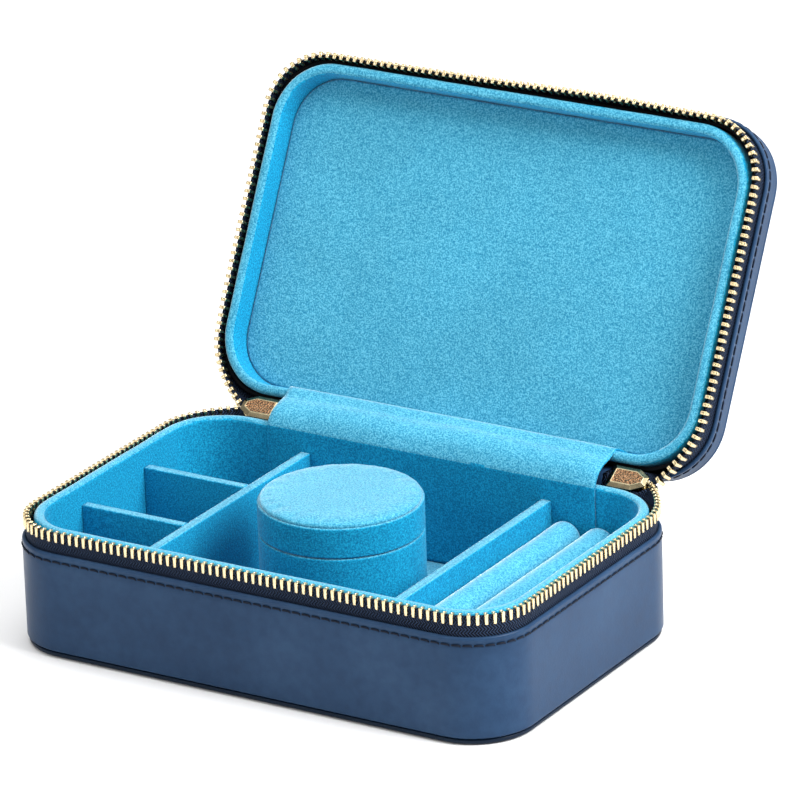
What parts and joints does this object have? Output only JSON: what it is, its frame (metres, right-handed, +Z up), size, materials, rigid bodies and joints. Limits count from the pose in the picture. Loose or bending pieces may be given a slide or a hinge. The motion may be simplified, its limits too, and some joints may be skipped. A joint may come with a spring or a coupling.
{
  "type": "leather jewellery case",
  "caption": "Zip-round leather jewellery case, lid open: suede-lined rooms, ring rolls, a round lift-out capsule with its own lid, and a padded lid lining.",
  "frame": {"origin": "middle of the base's footprint, on its underside", "axes": "+X along the case, to the right of someone facing the open case; +Y towards the hinge; +Z up"},
  "size_m": [0.196, 0.2022, 0.1585],
  "materials": {
    "navy_leather": "smooth satin leather",
    "blue_suede": "soft napped microsuede",
    "zip_tape": "woven herringbone tape",
    "gold_metal": "polished pale gold plating",
    "board": "black paper-faced fibreboard",
    "padding": "thin foam sheet"
  },
  "bodies": {
    "base": {"base_bottom_panel": "navy_leather", "base_side_leather": "navy_leather", "base_frame_board": "board", "base_floor_board": "board", "base_lining_wall_suede": "blue_suede", "base_lining_wall_board": "board", "base_lining_floor": "blue_suede", "base_zip_tape": "zip_tape", "base_zip_teeth": "gold_metal", "base_zip_stops": "gold_metal", "divider_left_long": "blue_suede", "divider_right_long": "blue_suede", "divider_cross_front": "blue_suede", "divider_cross_back": "blue_suede", "ring_roll_inner": "blue_suede", "ring_roll_middle": "blue_suede", "ring_roll_outer": "blue_suede", "hinge_spine_leather": "navy_leather", "hinge_flap_suede": "blue_suede"},
    "lid": {"lid_side_leather": "navy_leather", "lid_top_leather": "navy_leather", "lid_frame_board": "board", "lid_top_board": "board", "lid_padding": "padding", "lid_lining_panel": "blue_suede", "lid_lining_rim_suede": "blue_suede", "lid_lining_rim_board": "board", "lid_zip_tape": "zip_tape", "lid_zip_teeth": "gold_metal", "lid_zip_stops": "gold_metal"},
    "slider_left": {"zip_slider_left": "gold_metal"},
    "link_left": {"pull_link_left": "gold_metal"},
    "tab_left": {"pull_tab_left": "gold_metal"},
    "slider_right": {"zip_slider_right": "gold_metal"},
    "link_right": {"pull_link_right": "gold_metal"},
    "tab_right": {"pull_tab_right": "gold_metal"},
    "capsule": {"capsule_base_shell": "blue_suede", "capsule_neck": "blue_suede", "capsule_base_lining": "blue_suede"},
    "capsule_lid": {"capsule_lid_shell": "blue_suede", "capsule_lid_lining": "blue_suede", "capsule_lid_pad": "blue_suede"}
  },
  "joints": [
    {"name": "lid_hinge", "type": "hinge", "parent": "base", "child": "lid", "pos_m": [0, 0.0643, 0.047], "axis": [-1, 0, 0], "range_deg": [-117.7, 0], "deforming": ["hinge_spine_leather", "hinge_flap_suede"]},
    {"name": "slider_left_follow", "type": "hinge", "parent": "base", "child": "slider_left", "pos_m": [-0.0724, 0.0643, 0.047], "axis": [-1, 0, 0], "range_deg": [-60, 0]},
    {"name": "pull_left_hang", "type": "hinge", "parent": "slider_left", "child": "link_left", "pos_m": [-0.0724, 0.06711, 0.04157], "axis": [1, 0, 0], "range_deg": [-5, 60]},
    {"name": "tab_left_swing", "type": "hinge", "parent": "link_left", "child": "tab_left", "pos_m": [-0.0724, 0.06711, 0.03307], "axis": [0, 1, 0], "range_deg": [-75, 75]},
    {"name": "slider_right_follow", "type": "hinge", "parent": "base", "child": "slider_right", "pos_m": [0.0754, 0.0643, 0.047], "axis": [-1, 0, 0], "range_deg": [-60, 0]},
    {"name": "pull_right_hang", "type": "hinge", "parent": "slider_right", "child": "link_right", "pos_m": [0.0754, 0.06711, 0.04157], "axis": [1, 0, 0], "range_deg": [-5, 60]},
    {"name": "tab_right_swing", "type": "hinge", "parent": "link_right", "child": "tab_right", "pos_m": [0.0754, 0.06711, 0.03307], "axis": [0, 1, 0], "range_deg": [-75, 75]},
    {"name": "capsule_lift_out", "type": "slide", "parent": "base", "child": "capsule", "axis": [0, 0, 1], "range_m": [0, 0.06]},
    {"name": "capsule_lid_lift_off", "type": "slide", "parent": "capsule", "child": "capsule_lid", "axis": [0, 0, 1], "range_m": [0, 0.03]}
  ],
  "couplings": [
    {"joint": "slider_left_follow", "follows": "lid_hinge", "ratio": 0.5},
    {"joint": "slider_right_follow", "follows": "lid_hinge", "ratio": 0.5}
  ]
}
